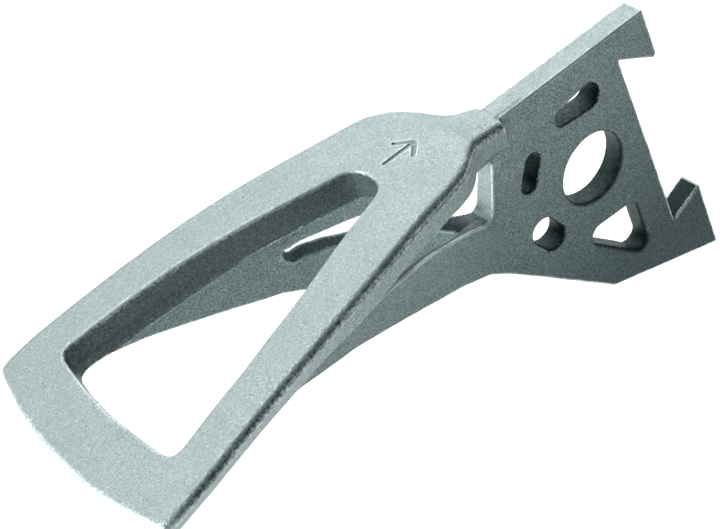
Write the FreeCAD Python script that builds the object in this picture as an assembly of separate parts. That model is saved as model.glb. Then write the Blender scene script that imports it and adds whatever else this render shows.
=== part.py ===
import FreeCAD, Part
import os
from FreeCAD import Vector

# Cam-over climbing step, one aluminium sand casting, in millimetres.
# X points away from the tree, Y to the climber's right, Z up.
# The origin is the middle of the upper prong's tree face. Heights below are measured from the level
# of the deck, which the boot stands on, and lift() moves them into the row frame.

deck_height = 36.0          # deck level above the origin
step_length = 230.0         # tree face to toe end
toe_half_width = 46.5       # widest half width, just behind the toe corners
deck_thickness = 13.2
deck_edge_radius = 2.0
deck_crest_x = 165.8        # the deck is slightly arched along its length
deck_crest_height = 0.2
deck_arch_radius = 555.5
web_thickness = 9.0
brace_thickness = 4.6

crown_start_x = 84.0        # deck begins, neck ends
window_start_x = 107.3      # narrow end of the foot window
crown_end_x = 105.0         # crown ends, limbs begin
toe_start_x = 203.0         # limbs end, toe bar begins
neck_start_x = 61.0
neck_bottom = -31.0
web_split_x = 37.5          # rear and centre of the web meet here
web_back_x = 14.5           # tree side edge of the web, between the prongs
arm_end_x = 131.0           # brace arm and rib end, gusset begins
stem_half_width = 3.8       # upright stem under the saddle of the neck

rope_hole_centre = (37.5, -66.8)
rope_hole_radius = 12.8
tie_slot_wide = (29.9, -39.2, 4.7)      # x, height, radius of each rounded end
tie_slot_narrow = (41.2, -38.0, 3.2)
front_slot_upper = (57.2, -43.8, 3.0)
front_slot_lower = (61.6, -50.7, 3.1)
keyhole_upper = (63.3, -72.9, 4.7)
keyhole_lower = (60.8, -78.6, 4.7)
strap_window = [(26.8, -94.8), (51.0, -90.5), (27.4, -119.8)]
strap_window_radius = 3.6

# Right half of the deck's outside edge, from the toe corner to the neck: (x, half width).
deck_side = [(219.0, toe_half_width), (210.0, 45.6), (195.0, 43.7), (180.0, 41.4), (165.0, 39.2),
             (150.0, 36.7), (135.0, 33.7), (120.0, 30.2), (106.0, 26.9), (97.0, 25.0),
             (91.0, 23.4), (87.0, 21.5), (crown_start_x, 19.2)]
toe_corner_middle = (223.4, 45.2)
toe_corner_end = (225.0, 41.2)

# Right half of the foot window's edge, from the toe bar to the crown.
window_side = [(203.8, 30.2), (192.0, 28.2), (180.0, 26.1), (168.0, 23.7), (156.0, 20.9),
               (145.0, 17.8), (134.0, 14.4), (124.0, 11.3), (114.5, 8.6)]
window_corner_middle = (206.9, 29.6)
window_corner_end = (208.4, 27.0)
window_toe_x = 210.5
window_tip_middle = (109.2, 5.9)
window_tip_end = (window_start_x, 1.6)

# Saddle sections: x, half width, top, bottom.
neck_sections = [(neck_start_x, 4.9, -18.8, neck_bottom), (68.0, 7.9, -15.9, -29.5),
                 (74.0, 10.4, -12.6, -26.0), (79.0, 14.6, -8.5, -21.8),
                 (crown_start_x, 19.2, -5.85, -19.05)]

# Upper edge of the side gap under the neck, where the stem stands over it: (x, height).
gap_inner_end = (69.6, neck_bottom)
gap_under_crown = (crown_start_x, -28.8)

# Wall sections on the right side: x, top, bottom, outside half width at the top and at the bottom.
arm_sections = [(crown_start_x, -48.6, -73.0, 4.5, 4.5), (100.0, -38.0, -60.4, 10.1, 8.8),
                (115.0, -29.6, -50.8, 15.3, 12.8), (arm_end_x, -22.9, -40.9, 20.6, 17.0)]
wall_top = -9.0             # inside the deck, which is cut away from ribs and gussets afterwards
rib_sections = [(crown_start_x, wall_top, gap_under_crown[1], 5.9, 5.6),
                (100.0, wall_top, -26.0, 11.7, 10.7),
                (115.0, wall_top, -23.1, 17.8, 16.1), (arm_end_x, wall_top, -20.3, 23.3, 21.1)]
gusset_sections = [(arm_end_x, wall_top, -40.9, 23.3, 17.0), (145.0, wall_top, -32.6, 25.3, 20.8),
                   (165.0, wall_top, -24.4, 27.7, 24.9), (185.0, wall_top, -17.4, 30.6, 29.3),
                   (199.0, wall_top, -14.6, 32.4, 32.0)]
side_gap_end = [(128.0, -21.4, 1.4), (134.2, -21.9, 1.4)]      # rounded outer end of the side gap


def lift(height):
    return deck_height + height


def arc_edge(start, middle, end, height):
    points = [Vector(x, y, height) for x, y in (start, middle, end)]
    return Part.Arc(*points).toShape()


def line_edge(start, end, height):
    return Part.LineSegment(Vector(start[0], start[1], height), Vector(end[0], end[1], height)).toShape()


def spline_edge(points, height):
    curve = Part.BSplineCurve()
    curve.interpolate([Vector(x, y, height) for x, y in points])
    return curve.toShape()


def mirrored(point):
    return (point[0], -point[1])


def flip(points):
    return [mirrored(p) for p in reversed(points)]


def plate_from(edges, thickness):
    wire = Part.Wire(Part.__sortEdges__(edges))
    return Part.Face(wire).extrude(Vector(0, 0, thickness))


def deck_outline(height):
    side = deck_side
    return [spline_edge(side, height),
            spline_edge(flip(side), height),
            arc_edge(side[0], toe_corner_middle, toe_corner_end, height),
            arc_edge(mirrored(side[0]), mirrored(toe_corner_middle), mirrored(toe_corner_end), height),
            arc_edge(toe_corner_end, (step_length, 0.0), mirrored(toe_corner_end), height),
            line_edge(side[-1], mirrored(side[-1]), height)]


def window_outline(height):
    side = window_side
    return [spline_edge(side, height),
            spline_edge(flip(side), height),
            arc_edge(side[0], window_corner_middle, window_corner_end, height),
            arc_edge(mirrored(side[0]), mirrored(window_corner_middle), mirrored(window_corner_end), height),
            arc_edge(window_corner_end, (window_toe_x, 0.0), mirrored(window_corner_end), height),
            arc_edge(side[-1], window_tip_middle, window_tip_end, height),
            arc_edge(mirrored(side[-1]), mirrored(window_tip_middle), mirrored(window_tip_end), height),
            line_edge(window_tip_end, mirrored(window_tip_end), height)]


def arch_height(x, depth):
    """Height of the deck's surface at x, or of the surface at the given depth below it."""
    radius = deck_arch_radius - depth
    drop = (radius * radius - (x - deck_crest_x) ** 2) ** 0.5
    return lift(deck_crest_height - deck_arch_radius + drop)


def rounded_rims(shape, radius):
    """Rounds the rims that lie on the arched surfaces, but not the cut where the neck joins."""
    rims = []
    for edge in shape.Edges:
        on_cut = edge.BoundBox.XMax < crown_start_x + 0.01
        middle = edge.valueAt((edge.FirstParameter + edge.LastParameter) / 2)
        above = abs(middle.z - arch_height(middle.x, 0.0))
        below = abs(middle.z - arch_height(middle.x, deck_thickness))
        if min(above, below) < 0.02 and not on_cut:
            rims.append(edge)
    return shape.makeFillet(radius, rims)


def arched_sheet():
    """The arched layer that the deck is cut from: the space between two cylinders about one axis."""
    centre = Vector(deck_crest_x, -100.0, lift(deck_crest_height - deck_arch_radius))
    outside = Part.makeCylinder(deck_arch_radius, 200.0, centre, Vector(0, 1, 0))
    inside = Part.makeCylinder(deck_arch_radius - deck_thickness, 200.0, centre, Vector(0, 1, 0))
    room = Part.makeBox(200.0, 200.0, 60.0, Vector(50.0, -100.0, lift(-50.0)))
    return outside.cut(inside).common(room)


def deck_loop():
    level = lift(-30.0)
    solid = plate_from(deck_outline(level), 40.0).common(arched_sheet())
    loop = solid.cut(plate_from(window_outline(level), 40.0)).Solids[0]
    return rounded_rims(loop, deck_edge_radius)


def slab(x_from, x_to, y_from=-100.0, y_to=100.0):
    corner = Vector(x_from, y_from, lift(-200.0))
    return Part.makeBox(x_to - x_from, y_to - y_from, 300.0, corner)


def side_plate(points, half_thickness=web_thickness / 2):
    """A plate in the plane of symmetry, from a side outline of (x, height) points."""
    corners = [Vector(x, -half_thickness, lift(h)) for x, h in points]
    face = Part.Face(Part.makePolygon(corners + corners[:1]))
    return face.extrude(Vector(0, 2 * half_thickness, 0))


def cross_drill(x, height, radius):
    return Part.makeCylinder(radius, 120.0, Vector(x, -60.0, lift(height)), Vector(0, 1, 0))


def tangent_slot(first, second):
    """The cutter of a slot with two rounded ends of their own radii, joined by straight sides."""
    x1, h1, r1 = first
    x2, h2, r2 = second
    along = Vector(x2 - x1, 0, h2 - h1)
    length = along.Length
    along.normalize()
    across = Vector(-along.z, 0, along.x)
    lean = (r1 - r2) / length
    reach = (1 - lean * lean) ** 0.5
    corners = []
    for x, h, r, sides in ((x1, h1, r1, (1, -1)), (x2, h2, r2, (-1, 1))):
        for sign in sides:
            offset = along * (lean * r) + across * (sign * reach * r)
            corners.append(Vector(x, -60.0, lift(h)) + offset)
    middle = Part.Face(Part.makePolygon(corners + corners[:1])).extrude(Vector(0, 120.0, 0))
    return cross_drill(*first).fuse(cross_drill(*second)).fuse(middle)


def rounded_triangle(points, radius):
    corners = [Vector(x, -60.0, lift(h)) for x, h in points]
    solid = Part.Face(Part.makePolygon(corners + corners[:1])).extrude(Vector(0, 120.0, 0))
    upright = [e for e in solid.Edges if abs(e.BoundBox.YLength - 120.0) < 0.1]
    return solid.makeFillet(radius, upright)


def web_cutters():
    hole_x, hole_h = rope_hole_centre
    return [cross_drill(hole_x, hole_h, rope_hole_radius),
            tangent_slot(tie_slot_wide, tie_slot_narrow),
            tangent_slot(front_slot_upper, front_slot_lower),
            tangent_slot(keyhole_upper, keyhole_lower),
            rounded_triangle(strap_window, strap_window_radius)]


def web_plate():
    outline = [(web_back_x, -24.65), (neck_start_x, -18.7), (neck_start_x, neck_bottom), gap_inner_end,
               (78.4, -51.0), (crown_start_x, -48.6), (crown_start_x, -73.0), (46.8, -121.0),
               (web_back_x, -137.6)]
    plate = side_plate(outline)
    for cutter in web_cutters():
        plate = plate.cut(cutter)
    return plate.Solids[0]


def upper_prong():
    outline = [(0.0, -26.5), (0.0, -46.0), (1.6, -47.4), (web_back_x, -37.0), (web_back_x, -24.65)]
    return side_plate(outline)


def lower_prong():
    outline = [(0.0, -113.0), (0.0, -145.1), (web_back_x, -137.6), (web_back_x, -117.0)]
    return side_plate(outline)


def section_wire(x, corners):
    points = [Vector(x, y, lift(h)) for y, h in corners]
    return Part.makePolygon(points + points[:1])


def neck():
    wires = []
    for x, half, top, bottom in neck_sections:
        wires.append(section_wire(x, [(-half, bottom), (half, bottom), (half, top), (-half, top)]))
    saddle = Part.makeLoft(wires, True, True)
    outline = [(neck_start_x, -20.0), (crown_start_x, -8.0), gap_under_crown, gap_inner_end,
               (neck_start_x, neck_bottom)]
    return saddle.fuse(side_plate(outline, stem_half_width)).removeSplitter()


def wall_wire(section, side):
    x, top, bottom, out_top, out_bottom = section
    thickness = min(brace_thickness, out_bottom)
    corners = [(side * out_top, top), (side * out_bottom, bottom),
               (side * (out_bottom - thickness), bottom), (side * (out_top - thickness), top)]
    return section_wire(x, corners)


def wall_loft(sections, side):
    return Part.makeLoft([wall_wire(s, side) for s in sections], True, True)


def under_deck(shape):
    """The part of a wall that lies below the deck."""
    below = shape.cut(arched_sheet()).Solids
    return min(below, key=lambda piece: piece.CenterOfMass.z)


def brace_arm(side):
    return wall_loft(arm_sections, side)


def brace_rib(side):
    return under_deck(wall_loft(rib_sections, side))


def brace_gusset(side):
    return under_deck(wall_loft(gusset_sections, side).cut(tangent_slot(*side_gap_end)))


def export(node, shape):
    solids = shape.Solids
    assert len(solids) == 1 and shape.isValid(), node
    solids[0].exportStep("parts/" + node + ".step")
    print(node, "volume", round(solids[0].Volume / 1000, 2), "cm3")
    return solids[0].Volume


def main():
    os.makedirs("parts", exist_ok=True)
    deck = deck_loop()
    web = web_plate()
    nodes = {
        "toe_bar": deck.common(slab(toe_start_x, 260.0)),
        "right_limb": deck.common(slab(crown_end_x, toe_start_x, 0.0, 100.0)),
        "left_limb": deck.common(slab(crown_end_x, toe_start_x, -100.0, 0.0)),
        "crown": deck.common(slab(60.0, crown_end_x)),
        "neck": neck(),
        "right_brace": brace_arm(1),
        "left_brace": brace_arm(-1),
        "right_rib": brace_rib(1),
        "left_rib": brace_rib(-1),
        "right_gusset": brace_gusset(1),
        "left_gusset": brace_gusset(-1),
        "web_front": web.common(slab(neck_start_x, 100.0)),
        "web_centre": web.common(slab(web_split_x, neck_start_x)),
        "web_rear": web.common(slab(0.0, web_split_x)),
        "upper_prong": upper_prong(),
        "lower_prong": lower_prong(),
    }
    total = 0.0
    for node, shape in nodes.items():
        total += export(node, shape)
    print("total", round(total / 1000, 1), "cm3,", round(total * 2.68e-3), "g of cast aluminium")


main()
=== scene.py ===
"""Cam-over climbing step: the looks of one aluminium sand casting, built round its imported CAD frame.

The casting is modelled as a signed distance field in millimetres, meshed once, and then divided at the
same borders as the CAD nodes, so that each named region has its own piece and no seam shows.
X points away from the tree, Y to the climber's right, and heights h are measured from the deck.
"""

import math

import bmesh
import bpy
import numpy as np
from mathutils import Matrix, Vector


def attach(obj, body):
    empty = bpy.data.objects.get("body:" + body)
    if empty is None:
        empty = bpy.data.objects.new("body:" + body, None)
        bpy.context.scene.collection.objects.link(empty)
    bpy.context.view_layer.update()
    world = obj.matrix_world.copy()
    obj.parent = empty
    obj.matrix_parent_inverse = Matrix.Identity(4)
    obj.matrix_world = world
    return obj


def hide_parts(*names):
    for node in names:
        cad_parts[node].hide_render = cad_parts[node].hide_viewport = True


MM = 0.001
DECK_LEVEL = 36.0               # the deck's level above the frame's origin

# ---------------------------------------------------------------- dimensions, in millimetres
DECK_THICKNESS = 13.2
ARCH_RADIUS = 555.5             # the deck is slightly arched along its length
ARCH_CREST = (165.8, 0.2)
DECK_TOP_ROUND = 2.2
DECK_BOTTOM_ROUND = 0.6
DECK_WINDOW_ROUND = 1.5
PARTING_DEPTH = 3.3             # the outer wall leans inward below this depth under the top
PARTING_ROUND = 0.5
LOWER_DEPTH = 9.8               # height of the leaning band, over which it comes in by the inset
LOWER_INSET = [(60.0, 4.2), (68.0, 3.8), (76.0, 2.8), (84.0, 2.0), (100.0, 3.0), (140.0, 3.5),
               (160.0, 5.2), (180.0, 5.8), (214.0, 6.6)]
WEB_HALF = 4.5
WEB_ROUND = 0.8
FRONT_ROUND_ADDED = 1.2         # the web's front edge is rounder by this much, over the ranges below
FRONT_ROUND_X = (64, 4)         # start and length of the range
FRONT_ROUND_HEIGHT = (-72, 15)
NECK_HALF = 3.8
NECK_ROUND = 1.0
WALL_THICKNESS = 4.6
WALL_THICKNESS_ALONG = [(81, 8.5), (97, WALL_THICKNESS), (150, WALL_THICKNESS), (200, 2.4)]
WALL_LEAN = 0.93                # cosine-like factor that turns a width across the wall into a distance
WALL_OUTER_ROUND = 1.0
WALL_INNER_ROUND = 1.2
NECK_FILLET = 3.0               # where neck and deck meet
WALL_FILLET = 1.2               # where walls and deck meet
WEB_FILLET = 0.7                # where the web meets the rest

DECK_SIDE = [(219.0, 46.3), (210.0, 45.6), (195.0, 43.7), (180.0, 41.4), (165.0, 39.2), (150.0, 36.7),
             (135.0, 33.7), (120.0, 30.2), (106.0, 26.9), (97.0, 25.0), (91.0, 23.4), (87.0, 21.5),
             (84.0, 19.2), (81.4, 16.8), (79.0, 14.6), (76.6, 12.5), (74.0, 10.5), (71.0, 8.9), (68.0, 8.0),
             (65.0, 7.5), (58.0, 7.0), (50.0, 6.6)]
WING_END = 62.6                 # nearer the tree only a strip of the saddle goes on, this wide to each side:
STRIP_HALF = 3.0
WING_ROUND = 1.0
TOE_CORNER = [(219.0, 46.3), (223.4, 45.2), (225.0, 41.2)]
TOE_END = [(225.0, 41.2), (228.9, 22.0), (230.0, 0.0)]
WINDOW_SIDE = [(203.8, 30.2), (192.0, 28.2), (180.0, 26.1), (168.0, 23.7), (156.0, 20.9), (145.0, 17.8),
               (134.0, 14.4), (124.0, 11.3), (114.5, 8.6)]
WINDOW_CORNER = [(203.8, 30.2), (206.9, 29.6), (208.4, 27.0)]
WINDOW_END = [(208.4, 27.0), (209.9, 14.0), (210.5, 0.0)]
WINDOW_TIP = [(114.5, 8.6), (109.2, 5.9), (107.4, 1.6), (107.3, 0.0)]

# Top of the saddle between the web's top edge and the arched deck: (x, height).
SADDLE = [(40.0, -21.4), (55.0, -19.5), (60.0, -18.8), (63.0, -18.2), (65.5, -17.1), (68.5, -15.8),
          (71.0, -14.6), (73.0, -13.3), (75.0, -11.8), (77.0, -10.1), (79.0, -8.6), (81.5, -7.2),
          (84.5, -6.2), (88.0, -5.4), (92.0, -4.7), (96.0, -4.2)]
SADDLE_END = 92.0

WEB_OUTLINE = [(0.0, -26.5), (0.0, -46.0), (1.4, -47.5), (14.5, -37.0), (14.5, -117.0), (0.0, -113.0),
               (0.0, -145.1), (46.8, -121.0), (84.0, -73.0), (92.0, -64.0), (92.0, -52.0), (84.0, -50.0),
               (79.2, -52.6), (77.9, -50.4), (70.3, -32.2), (61.9, -18.6)]
# Openings in the web: (x, height, radius) of the circles that they are drawn round.
ROPE_HOLE = (37.5, -66.8, 12.8)
ROPE_HOLE_ROUND = 1.6
TIE_SLOT = [(29.9, -39.2, 4.7), (41.2, -38.0, 3.2)]
FRONT_SLOT = [(57.2, -43.8, 3.0), (61.6, -50.7, 3.1)]
KEYHOLE = [(63.3, -72.9, 4.7), (60.8, -78.6, 4.7)]
STRAP_WINDOW = [(30.4, -97.7, 3.6), (43.6, -95.2, 3.6), (30.7, -112.6, 3.6)]
SLOT_ROUNDS = [(TIE_SLOT, 0.9), (FRONT_SLOT, 1.0), (KEYHOLE, 1.2), (STRAP_WINDOW, 1.8)]

# Side outline of the upright stem under the saddle.
NECK_CORE = [(56.0, -21.5), (64.0, -20.5), (72.0, -16.0), (80.0, -11.0), (92.0, -9.0), (92.0, -26.8),
             (70.0, -31.3), (66.0, -33.0), (56.0, -33.0)]

# Outside face of the right wall under the deck: x, then height and half width of its lower line,
# then the same of its upper line.
WALL_LINES = [(70.0, -90.0, 3.6, -14.0, 3.6), (80.0, -78.0, 4.4, -14.0, 4.7),
              (88.0, -69.2, 5.6, -14.0, 6.9), (100.0, -60.4, 8.8, -14.0, 11.4),
              (115.0, -50.8, 12.8, -14.0, 17.2), (131.0, -40.9, 17.0, -9.0, 23.3),
              (145.0, -32.6, 20.8, -9.0, 25.3), (165.0, -24.4, 24.9, -9.0, 27.7),
              (185.0, -17.4, 29.3, -9.0, 30.6), (200.0, -13.6, 32.2, -9.0, 32.4),
              (215.0, -9.8, 35.0, -9.0, 34.6)]
WALL_TOP = [(215.0, -9.0), (165.0, -7.5), (131.0, -8.0), (110.0, -10.0), (95.0, -12.0), (84.0, -14.0),
            (76.0, -20.0), (70.0, -26.0)]
# The long opening between neck, deck walls and braces, drawn 1.5 mm inside its edge.
SIDE_GAP = [(71.9, -32.4), (112.4, -25.7), (131.8, -22.1), (134.1, -22.0), (131.0, -22.2), (124.0, -24.3),
            (119.0, -26.6), (114.8, -28.2), (106.4, -31.9), (97.6, -37.6), (90.8, -41.8), (84.0, -46.6),
            (81.2, -48.5), (79.9, -48.8), (79.0, -48.0), (76.0, -41.2)]
SIDE_GAP_ROUND = 1.5
GAP_RIM_ROUND = 0.6
GAP_LEAN = 0.55                 # how steeply the gap's lower edge falls from its outer to its inner side
GAP_LEAN_X = (80, 10)           # start and length of the range that the lean fades in over
GAP_MIDDLE = (84, -36)          # the line through the middle of the gap, which parts braces from ribs:
GAP_RUN, GAP_RISE = 47, 14.4    # a point on it, and how it rises

# A plain arrow cut into the crown, pointing to the tree: runs of (x, y) on the deck's top.
ARROW = [[(101.0, 0.0), (89.0, 0.0)], [(93.6, 4.6), (89.0, 0.0), (93.6, -4.6)]]
ARROW_RADIUS = 0.62
ARROW_ROUND = 0.25
ARROW_BOX = (86.0, 104.0, 7.0)  # from x, to x, and half width of the place that is meshed finer

# Unevenness of the cast skin: depth, size of the lumps, and a shift that keeps the two layers apart.
COARSE_LUMPS = (0.16, 11.0, 0.0)
FINE_LUMPS = (0.10, 3.7, 5.0)

# Borders between the CAD nodes: planes at these x, or at these heights.
WEB_BACK = 14.5
WEB_SPLIT = 37.5
NECK_START = 61
DECK_START = 84
CROWN_END = 105
ARM_END = 131
TOE_START = 203
NECK_BOTTOM = -31
PRONG_SPLIT = -80

MESH_BOX = ((-4, -50, -149), (234, 50, 3))
MESH_STEP = 0.55
PLAN_BOX = ((36.0, -58.0), (242.0, 58.0))       # what the plan outlines are sampled over: x, y
SIDE_BOX = ((-12.0, -156.0), (242.0, 12.0))     # and the side outlines: x, height

# The photograph's camera, in metres: place, and its own right, up and backward directions.
CAMERA_PLACE = (0.24236, 0.35827, 0.38901)
CAMERA_RIGHT = (-0.714980, 0.607049, -0.346836)
CAMERA_UP = (-0.663057, -0.431431, 0.611738)
CAMERA_BACK = (0.221719, 0.667352, 0.710973)
CAMERA_LENS = 87.88
CAMERA_SENSOR = 36.0
FLOOR_HEIGHT = -0.42

# Where the painted shade, partly the darker as-cast skin, and the edge wear with painted highlight lie, in
# millimetres from an outline or as a share of the normal.
WEB_INSIDE = -2.6               # hole walls lie at least this far inside the web's outline
WEB_INSIDE_END = 72
HOLE_WEAR_AND_HIGHLIGHT = 0.35                # share of the edge wear and painted highlight that the rims of the web's holes get
HOLE_FADE = (0.97, 0.35)        # sideways normal where a hole's painted shade ends, and its fading range
THROAT_X = 15.4
THROAT_HEIGHTS = (-118.5, -40)
RIM_X = (61, 214)

# Looks of the metal: noise scales are per metre.
GRAIN_SCALE = 2600.0
CLUMP_SCALE = 1000.0
STAIN_SCALE = 60.0
PIT_SCALE = 1100.0
NOISE_ROUGHNESS = 0.6
METAL_DARKER = (0.57, 0.645, 0.64, 1)
METAL_LIGHTER = (0.64, 0.715, 0.71, 1)
CLUMP_COLOUR = (0.34, 0.44, 0.435, 1)
SPECKLE_COLOUR = (0.20, 0.30, 0.295, 1)
GLINT_COLOUR = (0.82, 0.93, 0.92, 1)
# painted shade: colours that darken the casting towards the bottom
LOW_SHADE_DARKER = (0.045, 0.075, 0.075, 1)
LOW_SHADE_LIGHTER = (0.17, 0.24, 0.235, 1)
# painted shade, partly the darker as-cast skin: the near-black of holes, hollows and undersides
SHADE_AND_CAST_SKIN_COLOUR = (0.03, 0.052, 0.05, 1)
# outer edges lightened partly by wear and partly by painted highlight
WORN_AND_HIGHLIGHT_COLOUR = (0.78, 0.86, 0.86, 1)
LOW_SHADE_FROM, LOW_SHADE_TO = -0.080, 0.006      # heights in metres that the painted shade low down fades over
METALLIC = 0.85
BUMP_STRENGTH = 0.8
BUMP_DISTANCE = 0.00030

FLOOR_COLOUR = (0.86, 0.87, 0.87, 1)
FLOOR_SIZE = 12.0
WORLD_COLOUR = (0.66, 0.92, 0.92, 1)
WORLD_STRENGTH = 0.11
OBJECT_MIDDLE = (0.12, 0.0, 0.0)
# Soft lights: place, what they point at, size, watts.
LIGHTS = {
    "key": ((0.15, -0.50, 1.20), OBJECT_MIDDLE, (1.2, 0.9), 8.6),
    "tree_side": ((-0.85, -1.0, 0.40), OBJECT_MIDDLE, (1.2, 0.9), 9.5),
    "toe_fill": ((1.25, -0.15, 0.30), OBJECT_MIDDLE, (0.5, 0.6), 18.0),
    "backdrop": ((-0.05, -0.60, -0.13), (-0.05, -0.60, FLOOR_HEIGHT), (1.7, 0.8), 6.0),
}


# ---------------------------------------------------------------- outlines and their distances
def natural_spline(points, count):
    """Points along a natural cubic spline, spaced by chord length."""
    pts = np.array(points, float)
    t = np.r_[0.0, np.cumsum(np.hypot(*np.diff(pts, axis=0).T))]
    n = len(t)
    a = np.zeros((n, n))
    b = np.zeros((n, 2))
    a[0, 0] = a[-1, -1] = 1.0
    for i in range(1, n - 1):
        h0, h1 = t[i] - t[i - 1], t[i + 1] - t[i]
        a[i, i - 1:i + 2] = h0, 2 * (h0 + h1), h1
        b[i] = 6 * ((pts[i + 1] - pts[i]) / h1 - (pts[i] - pts[i - 1]) / h0)
    m = np.linalg.solve(a, b)
    s = np.linspace(0, t[-1], count)
    k = np.clip(np.searchsorted(t, s, side="right") - 1, 0, n - 2)
    h = (t[k + 1] - t[k])[:, None]
    u, v = (t[k + 1] - s)[:, None], (s - t[k])[:, None]
    return (m[k] * u ** 3 + m[k + 1] * v ** 3) / (6 * h) + (pts[k] / h - m[k] * h / 6) * u \
        + (pts[k + 1] / h - m[k + 1] * h / 6) * v


def closed_half(*curves):
    """Closes the right half of a symmetric outline with its own mirror image."""
    half = np.vstack(curves)
    return np.vstack([half, (half * (1, -1))[::-1]])


def polygon_distance(points, polygon):
    """Signed distance from each point to a polygon, negative inside."""
    best = np.full(len(points), 1e9)
    inside = np.zeros(len(points), bool)
    x, y = points[:, 0], points[:, 1]
    for (ax, ay), (bx, by) in zip(polygon, np.roll(polygon, -1, axis=0)):
        ex, ey = bx - ax, by - ay
        length = ex * ex + ey * ey
        if length < 1e-12:
            continue
        t = np.clip(((x - ax) * ex + (y - ay) * ey) / length, 0, 1)
        best = np.minimum(best, (x - ax - t * ex) ** 2 + (y - ay - t * ey) ** 2)
        if ay != by:
            crosses = ((ay > y) != (by > y)) & (x < ex * (y - ay) / ey + ax)
            inside ^= crosses
    best = np.sqrt(best)
    return np.where(inside, -best, best)


class Field2D:
    """A signed distance sampled once on a fine plane grid, and read back by bilinear interpolation."""

    def __init__(self, polygon, low, high, step=0.3):
        self.low, self.step = np.array(low, float), step
        self.shape = tuple(int(math.ceil((b - a) / step)) + 2 for a, b in zip(low, high))
        gx, gy = np.meshgrid(*(np.arange(n) * step + a for n, a in zip(self.shape, low)), indexing="ij")
        distance = polygon_distance(np.c_[gx.ravel(), gy.ravel()], np.array(polygon, float))
        self.values = distance.reshape(self.shape)

    def __call__(self, a, b):
        u = np.clip((a - self.low[0]) / self.step, 0, self.shape[0] - 1.001)
        v = np.clip((b - self.low[1]) / self.step, 0, self.shape[1] - 1.001)
        i, j = u.astype(int), v.astype(int)
        u, v = u - i, v - j
        f = self.values
        near = f[i, j] * (1 - u) + f[i + 1, j] * u
        far = f[i, j + 1] * (1 - u) + f[i + 1, j + 1] * u
        return near * (1 - v) + far * v


def fade(value, start, span):
    """Rises from 0 to 1 over the span after the start."""
    return np.clip((value - start) / span, 0, 1)


def both(a, b, r):
    """Intersection of two solids with the edge between them rounded to radius r."""
    u, v = np.maximum(a + r, 0), np.maximum(b + r, 0)
    return np.minimum(np.maximum(a, b), -r) + np.sqrt(u * u + v * v)


def joined(a, b, r):
    """Union of two solids with a fillet of about radius r in the corner between them."""
    u, v = np.maximum(r - a, 0), np.maximum(r - b, 0)
    return np.maximum(np.minimum(a, b), r) - np.sqrt(u * u + v * v)


def tapered_slot(x, h, ends):
    """Signed distance to the outline round two or more circles: a slot, or a rounded triangle."""
    if len(ends) == 3:
        (x1, h1, r), (x2, h2, _), (x3, h3, _) = ends
        return polygon_distance(np.c_[x, h], np.array([(x1, h1), (x2, h2), (x3, h3)])) - r
    (x1, h1, r1), (x2, h2, r2) = ends
    ex, eh = x2 - x1, h2 - h1
    t = np.clip(((x - x1) * ex + (h - h1) * eh) / (ex * ex + eh * eh), 0, 1)
    return np.hypot(x - x1 - t * ex, h - h1 - t * eh) - (r1 + (r2 - r1) * t)


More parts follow.
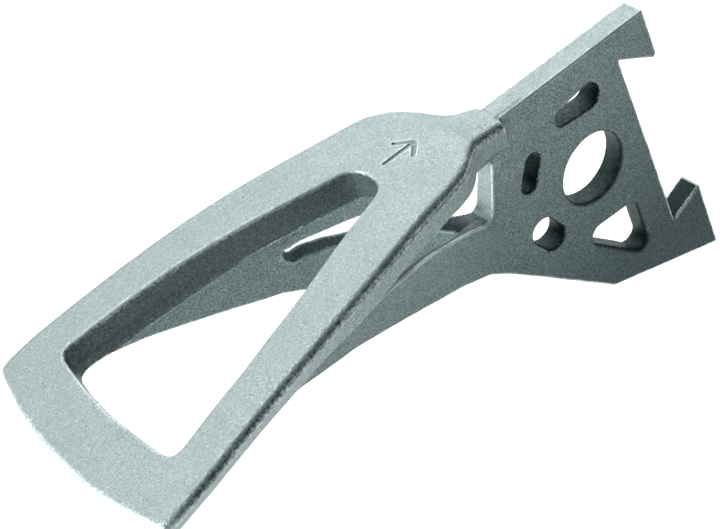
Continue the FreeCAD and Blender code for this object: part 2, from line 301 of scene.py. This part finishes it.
class Casting:
    """The whole casting as one signed distance."""

    def __init__(self):
        outline = closed_half(natural_spline(TOE_END, 12)[::-1], natural_spline(TOE_CORNER, 10)[::-1],
                              natural_spline(DECK_SIDE, 90))
        window = closed_half(natural_spline(WINDOW_END, 10)[::-1], natural_spline(WINDOW_CORNER, 8)[::-1],
                             natural_spline(WINDOW_SIDE, 50), natural_spline(WINDOW_TIP, 14))
        self.outline = Field2D(outline, *PLAN_BOX)
        self.window = Field2D(window, *PLAN_BOX)
        self.web = Field2D(WEB_OUTLINE, *SIDE_BOX)
        self.neck = Field2D(NECK_CORE, *SIDE_BOX)
        self.wall = Field2D([(x, h) for x, h, _, _, _ in WALL_LINES] + WALL_TOP, *SIDE_BOX)
        self.gap = Field2D(SIDE_GAP, *SIDE_BOX)

    def deck(self, x, y, h):
        """The saddle and the arched deck, with the parting line round their side and the foot window."""
        level = h - top_height(x)
        slope = top_height(x + 0.5) - top_height(x - 0.5)
        upright = 1 / np.sqrt(1 + slope ** 2)
        edge = self.outline(x, y)
        top = level * upright
        bottom = (-level - DECK_THICKNESS) * upright
        inset = np.interp(x, *np.array(LOWER_INSET).T)
        lower_edge = (edge * LOWER_DEPTH - (level + PARTING_DEPTH) * inset) / np.hypot(LOWER_DEPTH, inset)
        solid = both(edge, top, DECK_TOP_ROUND)
        solid = both(solid, lower_edge, PARTING_ROUND)
        solid = both(solid, bottom, DECK_BOTTOM_ROUND)
        solid = both(solid, np.minimum(WING_END - x, np.abs(y) - STRIP_HALF), WING_ROUND)
        return both(solid, -self.window(x, y), DECK_WINDOW_ROUND)

    def walls(self, x, y, h):
        """The two walls that run from the neck and web out under the limbs, with the long opening in them."""
        lines = np.array(WALL_LINES).T
        low_h, low_y, high_h, high_y = (np.interp(x, lines[0], row) for row in lines[1:])
        outside = low_y + (high_y - low_y) * (h - low_h) / np.maximum(high_h - low_h, 1.0)
        away = np.abs(y)
        thick = np.interp(x, *np.array(WALL_THICKNESS_ALONG).T)
        outer, inner = (away - outside) * WALL_LEAN, (outside - thick - away) * WALL_LEAN
        sheet = both(both(self.wall(x, h), outer, WALL_OUTER_ROUND), inner, WALL_INNER_ROUND)
        below = h < GAP_MIDDLE[1] + (x - GAP_MIDDLE[0]) * GAP_RISE / GAP_RUN
        lean = GAP_LEAN * below * fade(x, *GAP_LEAN_X)
        depth = np.maximum(outside - away, 0.0) * lean
        gap = (SIDE_GAP_ROUND - self.gap(x, h) + depth) / np.hypot(1, lean)
        return both(sheet, gap, GAP_RIM_ROUND)

    def web_plate(self, x, y, h):
        """The upright web with its prongs, pierced by the rope hole and the slots."""
        soft = fade(h, *FRONT_ROUND_HEIGHT) * fade(x, *FRONT_ROUND_X)
        plate = both(self.web(x, h), np.abs(y) - WEB_HALF, WEB_ROUND + FRONT_ROUND_ADDED * soft)
        hx, hh, r = ROPE_HOLE
        plate = both(plate, r - np.hypot(x - hx, h - hh), ROPE_HOLE_ROUND)
        for slot, rim_round in SLOT_ROUNDS:
            plate = both(plate, -tapered_slot(x, h, slot), rim_round)
        return plate

    def neck_core(self, x, y, h):
        return both(self.neck(x, h), np.abs(y) - NECK_HALF, NECK_ROUND)

    def __call__(self, p):
        x, y, h = p[:, 0], p[:, 1], p[:, 2]
        deck = joined(self.deck(x, y, h), self.neck_core(x, y, h), NECK_FILLET)
        frame = joined(deck, self.walls(x, y, h), WALL_FILLET)
        return joined(frame, self.web_plate(x, y, h), WEB_FILLET)


def top_height(x):
    """Height of the casting's top line above the deck's level: the saddle, then the arched deck."""
    arch = ARCH_CREST[1] - ARCH_RADIUS + np.sqrt(ARCH_RADIUS ** 2 - (x - ARCH_CREST[0]) ** 2)
    return np.where(x > SADDLE_END, arch, np.interp(x, *SADDLE_CURVE.T))


def arrow_distance(x, y):
    """Distance in plan from the middle line of the arrow."""
    best = np.full(len(x), 1e9)
    for run in ARROW:
        for (ax, ay), (bx, by) in zip(run, run[1:]):
            ex, ey = bx - ax, by - ay
            t = np.clip(((x - ax) * ex + (y - ay) * ey) / (ex * ex + ey * ey), 0, 1)
            best = np.minimum(best, np.hypot(x - ax - t * ex, y - ay - t * ey))
    return best


class Lumps:
    """Smooth random unevenness of a sand mould, between 0 and 1, the same on every run."""

    def __init__(self, seed):
        self.table = np.random.RandomState(seed).rand(32, 32, 32)

    def __call__(self, p):
        base = np.floor(p)
        t = p - base
        t = t * t * (3 - 2 * t)
        i = base.astype(int)
        total = np.zeros(len(p))
        for corner in range(8):
            bits = np.array([corner & 1, corner >> 1 & 1, corner >> 2])
            weight = np.prod(np.where(bits, t, 1 - t), axis=1)
            a, b, c = ((i + bits) % 32).T
            total += weight * self.table[a, b, c]
        return total


class CastSkin:
    """The casting as the mould left it: sunk by its unevenness, with the arrow cut into the crown."""

    def __init__(self, casting):
        self.casting = casting
        self.layers = [(Lumps(3), *COARSE_LUMPS), (Lumps(8), *FINE_LUMPS)]

    def __call__(self, p):
        value = self.casting(p)
        x, y, h = p.T
        groove = np.hypot(arrow_distance(x, y), h - top_height(x)) - ARROW_RADIUS
        value = both(value, -groove, ARROW_ROUND)
        return value + sum(depth * lumps(p / size + shift) for lumps, depth, size, shift in self.layers)


# ---------------------------------------------------------------- meshing
def surface_nets(field, low, high, step, block=8, reach=1.25):
    """Meshes the zero surface: one vertex in each crossed cell, one quad for each crossed grid edge.

    Only blocks of cells with the surface within reach block widths of their middle are sampled finely.
    """
    low = np.array(low, float)
    count = [int(math.ceil((b - a) / (step * block))) * block + 1 for a, b in zip(low, high)]
    values = np.ones(count, np.float32)
    blocks = [(n - 1) // block for n in count]
    index = np.stack(np.meshgrid(*(np.arange(n) for n in blocks), indexing="ij"), -1).reshape(-1, 3)
    middle = field(low + (index + 0.5) * block * step)
    near = np.abs(middle) < block * step * reach
    offsets = np.stack(np.meshgrid(*([np.arange(block + 1)] * 3), indexing="ij"), -1).reshape(-1, 3)
    for (i, j, k), value in zip(index[~near] * block, middle[~near]):
        values[i:i + block + 1, j:j + block + 1, k:k + block + 1] = np.sign(value)
    chunk = 400
    kept = index[near] * block
    for start in range(0, len(kept), chunk):
        cells = (kept[start:start + chunk, None, :] + offsets[None]).reshape(-1, 3)
        values[cells[:, 0], cells[:, 1], cells[:, 2]] = field(low + cells * step)

    inside = values < 0
    corners = [(a, b, c) for a in (0, 1) for b in (0, 1) for c in (0, 1)]
    shape = [n - 1 for n in count]

    def corner(array, offset):
        return array[tuple(slice(o, o + n) for o, n in zip(offset, shape))]

    total = np.zeros(shape, np.int8)
    for c in corners:
        total += corner(inside, c)
    active = np.argwhere((total > 0) & (total < 8))
    number = np.full(shape, -1, np.int32)
    number[tuple(active.T)] = np.arange(len(active))

    position = np.zeros((len(active), 3))
    hits = np.zeros(len(active))
    for a in corners:
        for axis in range(3):
            if a[axis]:
                continue
            b = list(a)
            b[axis] = 1
            va = values[tuple((active + a).T)]
            vb = values[tuple((active + b).T)]
            crossing = (va < 0) != (vb < 0)
            t = np.where(crossing, va / np.where(crossing, va - vb, 1), 0)
            point = np.array(a, float) + np.zeros((len(active), 3))
            point[:, axis] = t
            position += point * crossing[:, None]
            hits += crossing
    vertices = low + (active + position / hits[:, None]) * step

    quads = []
    for axis in range(3):
        u, v = (axis + 1) % 3, (axis + 2) % 3
        edge = np.argwhere(inside != np.roll(inside, -1, axis))
        edge = edge[(edge[:, axis] < count[axis] - 1) & (edge[:, u] > 0) & (edge[:, v] > 0)
                    & (edge[:, u] < count[u] - 1) & (edge[:, v] < count[v] - 1)]
        ring = []
        for du, dv in ((0, 0), (-1, 0), (-1, -1), (0, -1)):
            cell = edge.copy()
            cell[:, u] += du
            cell[:, v] += dv
            ring.append(number[tuple(cell.T)])
        ring = np.stack(ring, 1)
        leaving = inside[tuple(edge.T)]
        ring[~leaving] = ring[~leaving][:, ::-1]
        quads.append(ring)
    return vertices, np.vstack(quads)


def gradient(field, points, eps=0.05):
    """Unit normals of the field at the points."""
    out = np.empty_like(points)
    for axis in range(3):
        shift = np.zeros(3)
        shift[axis] = eps
        out[:, axis] = field(points + shift) - field(points - shift)
    return out / np.maximum(np.linalg.norm(out, axis=1), 1e-9)[:, None]


def settle(field, points, rounds=3, longest=0.3):
    """Moves the points along the gradient onto the zero surface, by no more than the longest step a round."""
    for _ in range(rounds):
        value = field(points)
        points = points - gradient(field, points) * np.clip(value, -longest, longest)[:, None]
    return points


# ---------------------------------------------------------------- dividing the casting
def kept_side(bm, point, normal):
    """Copy of the solid with only what lies behind the plane, closed again with a flat cap."""
    out = bm.copy()
    cap = out.faces.layers.int["cap"]
    bmesh.ops.bisect_plane(out, geom=out.verts[:] + out.edges[:] + out.faces[:], dist=1e-4,
                           plane_co=point, plane_no=normal, clear_outer=True)
    rims = [e for e in out.edges if e.is_boundary]
    if rims:
        filled = bmesh.ops.holes_fill(out, edges=rims, sides=0)["faces"]
        for face in filled:
            face[cap] = 1
        bmesh.ops.triangulate(out, faces=filled)
    return out


def halves(bm, point, normal):
    """The part of the solid behind the plane, then the part in front of it, where the normal points."""
    normal = Vector(normal)
    return kept_side(bm, point, normal), kept_side(bm, point, -normal)


def bent(bm, way):
    """Flattens the arch, way -1, or puts it back, way 1, by moving the vertices up or down."""
    xs = np.array([v.co.x for v in bm.verts])
    for vertex, top in zip(bm.verts, top_height(xs)):
        vertex.co.z += way * top


def divide(whole):
    """Divides the whole casting at the borders of the CAD nodes."""
    outward, sideways, upward = (1, 0, 0), (0, 1, 0), (0, 0, 1)
    gap_point = (GAP_MIDDLE[0], 0, GAP_MIDDLE[1])
    parts = {}
    rear, front = halves(whole, (NECK_START, 0, 0), outward)
    rest, parts["web_centre"] = halves(rear, (WEB_SPLIT, 0, 0), outward)
    prongs, parts["web_rear"] = halves(rest, (WEB_BACK, 0, 0), outward)
    parts["lower_prong"], parts["upper_prong"] = halves(prongs, (0, 0, PRONG_SPLIT), upward)
    stem, step = halves(front, (DECK_START, 0, 0), outward)
    parts["web_front"], parts["neck"] = halves(stem, (0, 0, NECK_BOTTOM), upward)
    middle, parts["toe_bar"] = halves(step, (TOE_START, 0, 0), outward)
    bent(middle, -1)
    below, deck = halves(middle, (0, 0, -DECK_THICKNESS), upward)
    bent(below, 1)
    bent(deck, 1)
    parts["crown"], limbs = halves(deck, (CROWN_END, 0, 0), outward)
    parts["left_limb"], parts["right_limb"] = halves(limbs, (0, 0, 0), sideways)
    for side, half in zip(("left", "right"), halves(below, (0, 0, 0), sideways)):
        walls, parts[side + "_gusset"] = halves(half, (ARM_END, 0, 0), outward)
        parts[side + "_brace"], parts[side + "_rib"] = halves(walls, gap_point, (-GAP_RISE, 0, GAP_RUN))
    return parts


def whole_mesh(surface, field, step):
    """The whole casting as one closed mesh that lies on the surface, with the arrow's place meshed finer."""
    points, quads = surface_nets(field, *MESH_BOX, step)
    points = settle(surface, points)
    bm = bmesh.new()
    verts = [bm.verts.new(p) for p in points]
    for quad in quads:
        bm.faces.new([verts[i] for i in quad])
    bm.faces.layers.int.new("cap")
    bm.normal_update()
    low, high, half = ARROW_BOX
    fine = [f for f in bm.faces if low < f.calc_center_median().x < high and f.normal.z > 0.5
            and abs(f.calc_center_median().y) < half]
    edges = list({e for f in fine for e in f.edges})
    added = bmesh.ops.subdivide_edges(bm, edges=edges, cuts=2, use_grid_fill=True)["geom_inner"]
    moved = [g for g in added if isinstance(g, bmesh.types.BMVert)]
    places = settle(surface, np.array([v.co[:] for v in moved]))
    for vertex, place in zip(moved, places):
        vertex.co = place
    return bm


def as_piece(name, bm, surface, casting, material):
    """Makes one named piece from a divided solid, with the whole casting's own normals on its skin."""
    cap = bm.faces.layers.int["cap"]
    bmesh.ops.dissolve_degenerate(bm, dist=1e-4, edges=bm.edges[:])
    bm.normal_update()
    bm.verts.index_update()
    places = np.array([v.co[:] for v in bm.verts])
    skin = gradient(surface, places)
    # outer edges: real edge wear and painted highlight, less on the rims of the web's holes
    wear_and_highlight = curvature(surface, places) * np.where(in_web(casting, places), HOLE_WEAR_AND_HIGHLIGHT, 1.0)
    # the second value is painted shade, partly the darker as-cast skin
    values = {"edge_wear_and_highlight": wear_and_highlight, "shade_and_cast_skin": shade_and_cast_skin(casting, places, skin)}
    caps = [f[cap] for f in bm.faces]
    loops = []
    for face, is_cap in zip(bm.faces, caps):
        flat = face.normal[:]
        loops.extend(flat if is_cap else tuple(skin[v.index]) for v in face.verts)
    mesh = bpy.data.meshes.new(name)
    bm.faces.layers.int.remove(cap)
    bm.to_mesh(mesh)
    mesh.transform(Matrix.Translation((0, 0, DECK_LEVEL * MM)) @ Matrix.Scale(MM, 4))
    mesh.shade_smooth()
    mesh.normals_split_custom_set(loops)
    for label, value in values.items():
        mesh.attributes.new(label, "FLOAT", "POINT").data.foreach_set("value", value.astype(np.float32))
    mesh.materials.append(material)
    piece = bpy.data.objects.new("cast_" + name, mesh)
    bpy.context.scene.collection.objects.link(piece)
    return piece


def in_web(casting, places):
    """Tells which points lie well inside the web's outline, where the only edges are those of its holes."""
    x, _, h = places.T
    return (casting.web(x, h) < WEB_INSIDE) & (x < WEB_INSIDE_END)


def shade_and_cast_skin(casting, places, normals):
    """Share of painted shade, partly the darker, rougher as-cast skin, in holes, on inner walls, under the
    deck and on the rim's side.
    """
    x, y, h = places.T
    sideways, up = np.abs(normals[:, 1]), normals[:, 2]
    level = h - top_height(x)
    in_deck = level > -DECK_THICKNESS
    # painted shade, partly darker as-cast skin, on the walls of the web's holes
    holes = in_web(casting, places) * np.clip((HOLE_FADE[0] - sideways) / HOLE_FADE[1], 0, 1)
    # painted shade on the lower prong's top, under the upper prong
    throat = (x < THROAT_X) & (h < THROAT_HEIGHTS[1]) & (h > THROAT_HEIGHTS[0]) & (sideways < 0.7)
    # painted shade on the foot window's inner walls
    window = (np.abs(casting.window(x, y)) < 1.2) & (up < 0.6) & in_deck
    # painted shade on the upper band of the rim's side
    rim = (casting.outline(x, y) > -1.0) & (up < 0.55) & (level > -PARTING_DEPTH - 0.3)
    rim &= (x > RIM_X[0]) & (x < RIM_X[1])
    # painted shadow on the side gap's lower edge, under the deck
    gap = (np.abs(SIDE_GAP_ROUND - casting.gap(x, h)) < 3.5) & (up > 0.2)
    gap &= (x > GAP_LEAN_X[0]) & (level < -DECK_THICKNESS)
    # painted shade on faces turned down below the deck, and a little on faces turned sideways
    under = np.clip(-up * 1.5, 0, 0.5) * (level < -DECK_THICKNESS + 1)
    sides = 0.07 * np.clip(sideways * 3 - 1.5, 0, 1)
    return np.maximum.reduce([0.95 * holes, 1.0 * throat, 0.75 * window, 0.65 * rim, 0.7 * gap, under, sides])


def curvature(surface, points, reach=0.9):
    """How sharply the skin bends at each point: above 0 on outer edges, below 0 in corners, in 1/mm."""
    total = -6 * surface(points)
    for axis in range(3):
        for way in (-reach, reach):
            shift = np.zeros(3)
            shift[axis] = way
            total += surface(points + shift)
    return total / reach ** 2


# ---------------------------------------------------------------- material
class Nodes:
    """Short calls for building one material's node tree."""

    def __init__(self, material):
        self.tree = material.node_tree
        self.tree.nodes.clear()

    def add(self, kind, inputs=(), **settings):
        node = self.tree.nodes.new(kind)
        for key, value in settings.items():
            setattr(node, key, value)
        for key, value in dict(inputs).items():
            if isinstance(value, bpy.types.NodeSocket):
                self.tree.links.new(value, node.inputs[key])
            else:
                node.inputs[key].default_value = value
        return node

    def noise(self, where, scale, detail):
        node = self.add("ShaderNodeTexNoise", {"Vector": where, "Scale": scale, "Detail": detail,
                                               "Roughness": NOISE_ROUGHNESS})
        return node.outputs["Factor" if "Factor" in node.outputs else "Fac"]

    def ramp(self, value, low, high, to_low=0.0, to_high=1.0):
        node = self.add("ShaderNodeMapRange", {"Value": value, "From Min": low, "From Max": high,
                                               "To Min": to_low, "To Max": to_high})
        return node.outputs["Result"]

    def blend(self, share, first, second):
        node = self.add("ShaderNodeMix", {0: share, 6: first, 7: second}, data_type="RGBA")
        return node.outputs[2]

    def sum(self, first, second, operation="ADD"):
        return self.add("ShaderNodeMath", {0: first, 1: second}, operation=operation).outputs[0]


def cast_aluminium():
    """Grey sand-cast metal: grainy, with painted shade that darkens it low down, painted shade in holes and
    hollows that is partly the darker as-cast skin, and edges lightened by wear and by painted highlight.
    """
    material = bpy.data.materials.new("sand_cast_aluminium")
    material.use_nodes = True
    n = Nodes(material)
    where = n.add("ShaderNodeTexCoord").outputs["Object"]
    height_up = n.add("ShaderNodeSeparateXYZ", {"Vector": where}).outputs["Z"]
    wear_and_highlight = n.add("ShaderNodeAttribute", attribute_name="edge_wear_and_highlight").outputs["Fac"]
    shade_and_skin_share = n.add("ShaderNodeAttribute", attribute_name="shade_and_cast_skin").outputs["Fac"]
    grain = n.noise(where, GRAIN_SCALE, 2.0)
    clumps = n.noise(where, CLUMP_SCALE, 3.0)
    stains = n.noise(where, STAIN_SCALE, 4.0)
    pits = n.add("ShaderNodeTexVoronoi", {"Vector": where, "Scale": PIT_SCALE}).outputs["Distance"]

    # edge wear and painted highlight: outer edges lightened in patches
    worn_and_highlit = n.ramp(n.sum(wear_and_highlight, n.ramp(clumps, 0.3, 0.7, -0.35, 0.35)), 0.35, 0.90)
    worn_and_highlit = n.sum(worn_and_highlit, n.ramp(stains, 0.36, 0.58, 0.35, 1.0), "MULTIPLY")
    light = n.blend(n.ramp(stains, 0.35, 0.68), METAL_DARKER, METAL_LIGHTER)
    clumped = n.blend(n.ramp(clumps, 0.36, 0.60, 0.35, 0.0), light, CLUMP_COLOUR)
    # grain marks grow stronger where the painted shade lies
    grain_share = n.ramp(shade_and_skin_share, 0.0, 0.07, 0.50, 0.95)
    speckles = n.sum(n.ramp(grain, 0.41, 0.57, 1.0, 0.0), grain_share, "MULTIPLY")
    speckled = n.blend(speckles, clumped, SPECKLE_COLOUR)
    glints = n.sum(n.ramp(grain, 0.56, 0.70, 0.0, 0.6), grain_share, "MULTIPLY")
    grainy = n.blend(glints, speckled, GLINT_COLOUR)
    # painted shade: the casting grows darker towards the bottom
    low = n.ramp(height_up, LOW_SHADE_FROM, LOW_SHADE_TO, 0.95, 0.0)
    low_shade = n.blend(n.ramp(grain, 0.38, 0.64), LOW_SHADE_DARKER, LOW_SHADE_LIGHTER)
    low_shaded = n.blend(low, grainy, low_shade)
    # painted shade, partly the darker as-cast skin, blended in by its attribute
    patchy_shade_and_skin = n.sum(shade_and_skin_share, n.ramp(clumps, 0.3, 0.7, 1.1, 0.9), "MULTIPLY")
    shaded_and_cast = n.blend(patchy_shade_and_skin, low_shaded, SHADE_AND_CAST_SKIN_COLOUR)
    colour = n.blend(worn_and_highlit, shaded_and_cast, WORN_AND_HIGHLIGHT_COLOUR)
    rough = n.sum(n.ramp(clumps, 0.3, 0.7, 0.60, 0.48), n.ramp(worn_and_highlit, 0.0, 1.0, 0.0, -0.10))

    height = n.sum(n.sum(n.sum(grain, 0.55, "MULTIPLY"), clumps), n.ramp(pits, 0.0, 0.35, -0.45, 0.0))
    bump = n.add("ShaderNodeBump", {"Strength": BUMP_STRENGTH, "Distance": BUMP_DISTANCE, "Height": height})
    shader = n.add("ShaderNodeBsdfPrincipled", {"Base Color": colour, "Metallic": METALLIC,
                                                "Roughness": rough, "Normal": bump.outputs["Normal"]})
    n.add("ShaderNodeOutputMaterial", {"Surface": shader.outputs["BSDF"]})
    return material


# ---------------------------------------------------------------- stage, lights and camera
def pale_floor():
    material = bpy.data.materials.new("pale_floor")
    material.use_nodes = True
    shader = material.node_tree.nodes["Principled BSDF"]
    shader.inputs["Base Color"].default_value = FLOOR_COLOUR
    shader.inputs["Roughness"].default_value = 0.9
    mesh = bpy.data.meshes.new("floor")
    bm = bmesh.new()
    bmesh.ops.create_grid(bm, x_segments=1, y_segments=1, size=FLOOR_SIZE)
    bm.to_mesh(mesh)
    bm.free()
    mesh.materials.append(material)
    floor = bpy.data.objects.new("floor", mesh)
    floor.location = (0.1, 0.0, FLOOR_HEIGHT)
    bpy.context.scene.collection.objects.link(floor)


def soft_light(name, place, target, size, watts):
    data = bpy.data.lights.new(name, "AREA")
    data.shape = "RECTANGLE"
    data.size, data.size_y = size
    data.energy = watts
    light = bpy.data.objects.new(name, data)
    light.location = place
    light.rotation_euler = (Vector(target) - Vector(place)).to_track_quat("-Z", "Y").to_euler()
    light.visible_camera = False
    bpy.context.scene.collection.objects.link(light)


def studio():
    world = bpy.data.worlds.new("studio")
    world.use_nodes = True
    background = world.node_tree.nodes["Background"]
    background.inputs["Color"].default_value = WORLD_COLOUR
    background.inputs["Strength"].default_value = WORLD_STRENGTH
    bpy.context.scene.world = world
    for name, settings in LIGHTS.items():
        soft_light(name, *settings)


def photo_camera():
    data = bpy.data.cameras.new("camera")
    data.sensor_width = CAMERA_SENSOR
    data.lens = CAMERA_LENS
    camera = bpy.data.objects.new("camera", data)
    turn = Matrix((CAMERA_RIGHT, CAMERA_UP, CAMERA_BACK)).transposed()
    camera.matrix_world = Matrix.Translation(CAMERA_PLACE) @ turn.to_4x4()
    bpy.context.scene.collection.objects.link(camera)
    bpy.context.scene.camera = camera


# ---------------------------------------------------------------- the scene
SADDLE_CURVE = natural_spline(SADDLE, 200)

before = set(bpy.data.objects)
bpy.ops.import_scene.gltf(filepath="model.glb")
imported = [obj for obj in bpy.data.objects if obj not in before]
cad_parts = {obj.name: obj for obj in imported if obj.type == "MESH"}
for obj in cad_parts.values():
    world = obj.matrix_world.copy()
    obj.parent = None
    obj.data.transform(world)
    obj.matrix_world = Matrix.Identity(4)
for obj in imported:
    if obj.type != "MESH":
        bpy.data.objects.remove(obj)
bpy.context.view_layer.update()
casting = Casting()
skin = CastSkin(casting)
aluminium = cast_aluminium()
whole = whole_mesh(skin, casting, MESH_STEP)
for node, solid in divide(whole).items():
    piece = as_piece(node, solid, skin, casting, aluminium)
    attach(piece, "root")
    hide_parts(node)
pale_floor()
studio()
bpy.context.scene.view_settings.view_transform = "Standard"
photo_camera()
